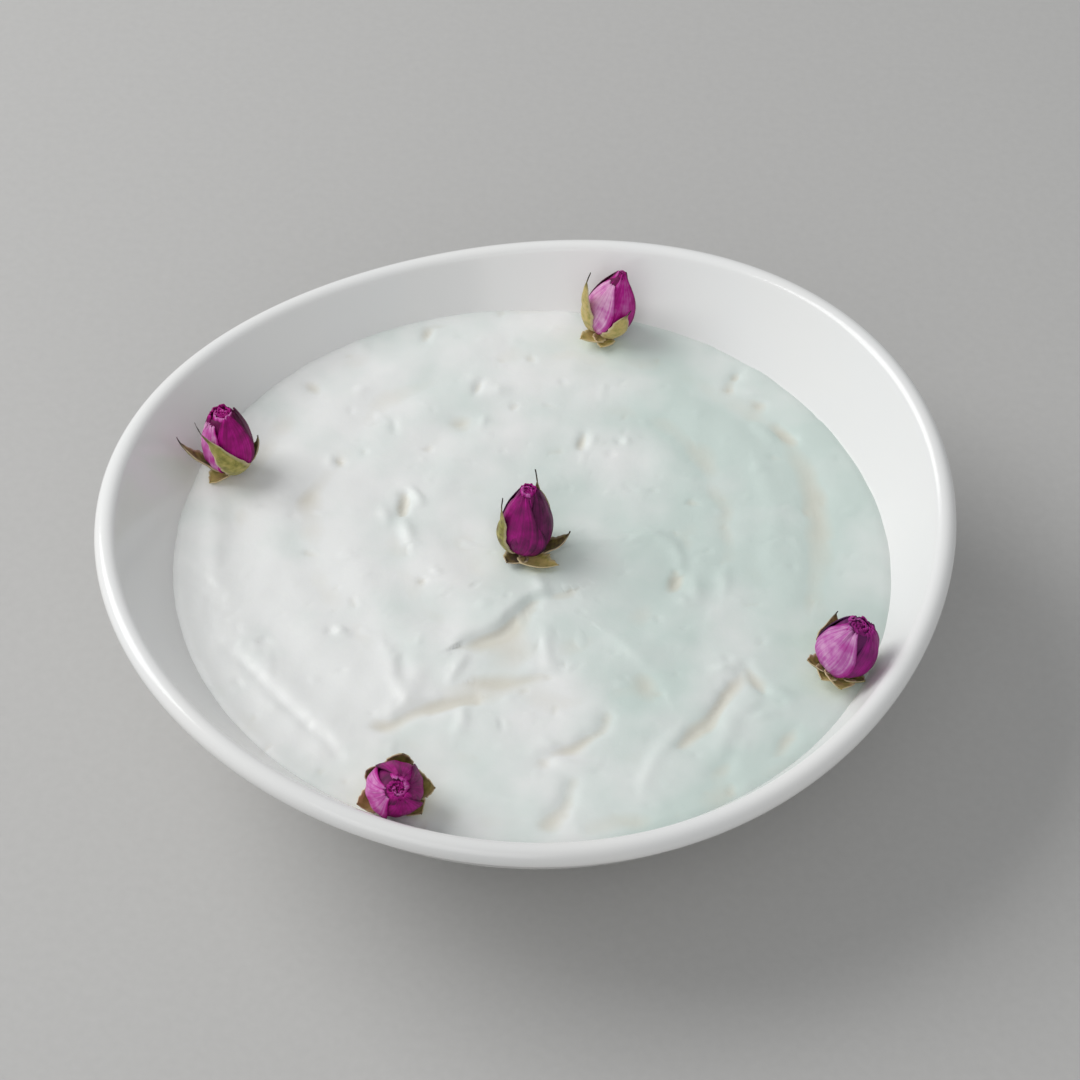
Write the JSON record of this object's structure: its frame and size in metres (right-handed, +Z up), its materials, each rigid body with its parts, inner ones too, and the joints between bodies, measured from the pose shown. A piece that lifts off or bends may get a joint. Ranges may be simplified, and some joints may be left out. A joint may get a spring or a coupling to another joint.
{
  "type": "bowl of yogurt",
  "caption": "Round white porcelain bowl with a wavy rounded rim, filled with thick spooned yogurt and topped with dried rose buds.",
  "frame": {"origin": "middle of the foot ring's flat underside, on the table", "axes": "+Z up out of the bowl, +Y towards the back of the rim, +X to the right"},
  "size_m": [0.172, 0.1646, 0.0534],
  "materials": {
    "porcelain": "clear gloss glaze over white porcelain",
    "yogurt": "moist, softly glossy",
    "rose_bud": "dry, dull petals and leaves"
  },
  "bodies": {
    "root": {"bowl": "porcelain", "yogurt": "yogurt", "bud_centre": "rose_bud", "bud_back": "rose_bud", "bud_left": "rose_bud", "bud_right": "rose_bud", "bud_front": "rose_bud"}
  },
  "joints": []
}
